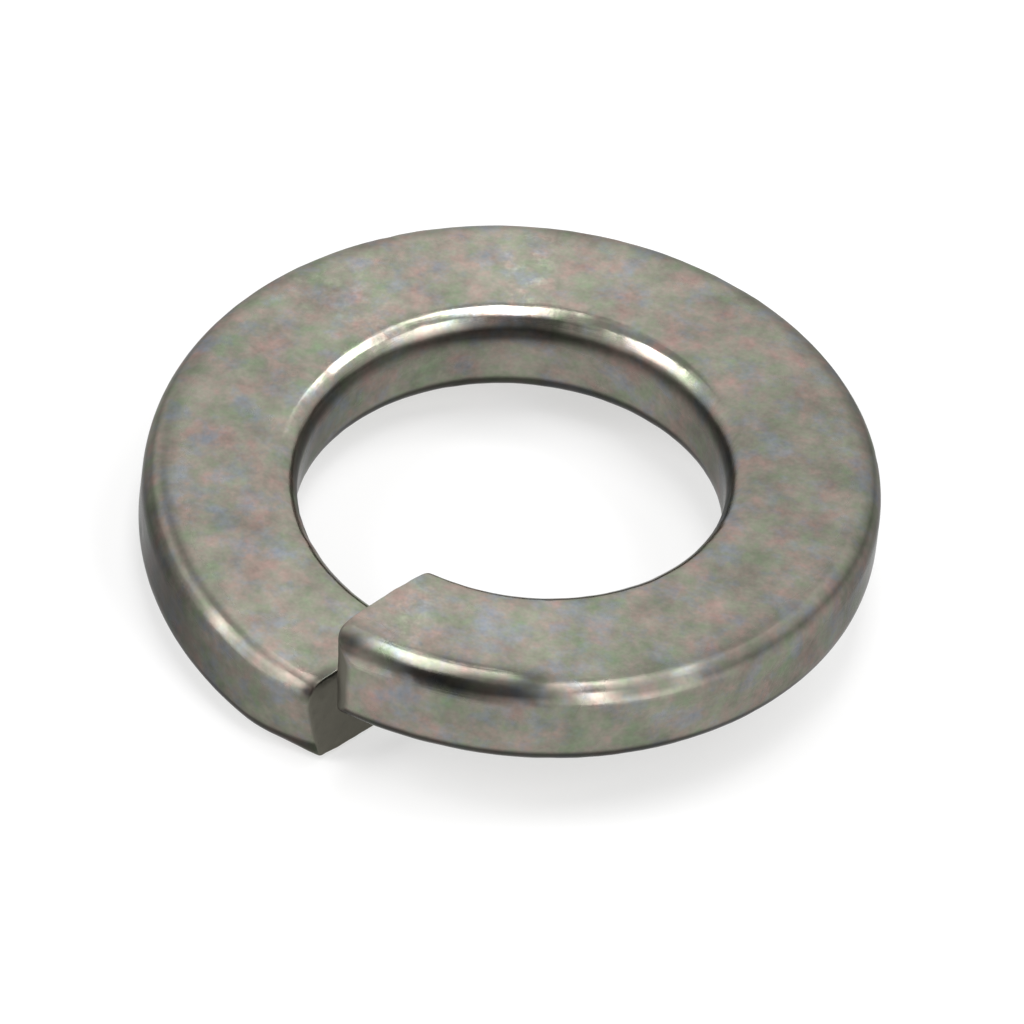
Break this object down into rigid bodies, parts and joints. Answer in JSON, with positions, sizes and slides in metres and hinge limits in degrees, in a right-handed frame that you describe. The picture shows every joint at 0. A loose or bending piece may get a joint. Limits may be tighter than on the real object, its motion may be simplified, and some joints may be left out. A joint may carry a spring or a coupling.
{
  "type": "spring lock washer",
  "caption": "Split helical spring lock washer of rounded section, wound left-handed, with a skewed cut and offset ends.",
  "frame": {"origin": "on the bore's axis, level with the lowest point under the low end", "axes": "+Z along the bore's axis, out of the side that the high end stands up on; the split is towards -Y and a little towards -X"},
  "size_m": [0.022, 0.022, 0.0057],
  "materials": {
    "plated_steel": "dull satin grey plating with a faint mottle"
  },
  "bodies": {
    "root": {"lock_washer": "plated_steel"}
  },
  "joints": []
}
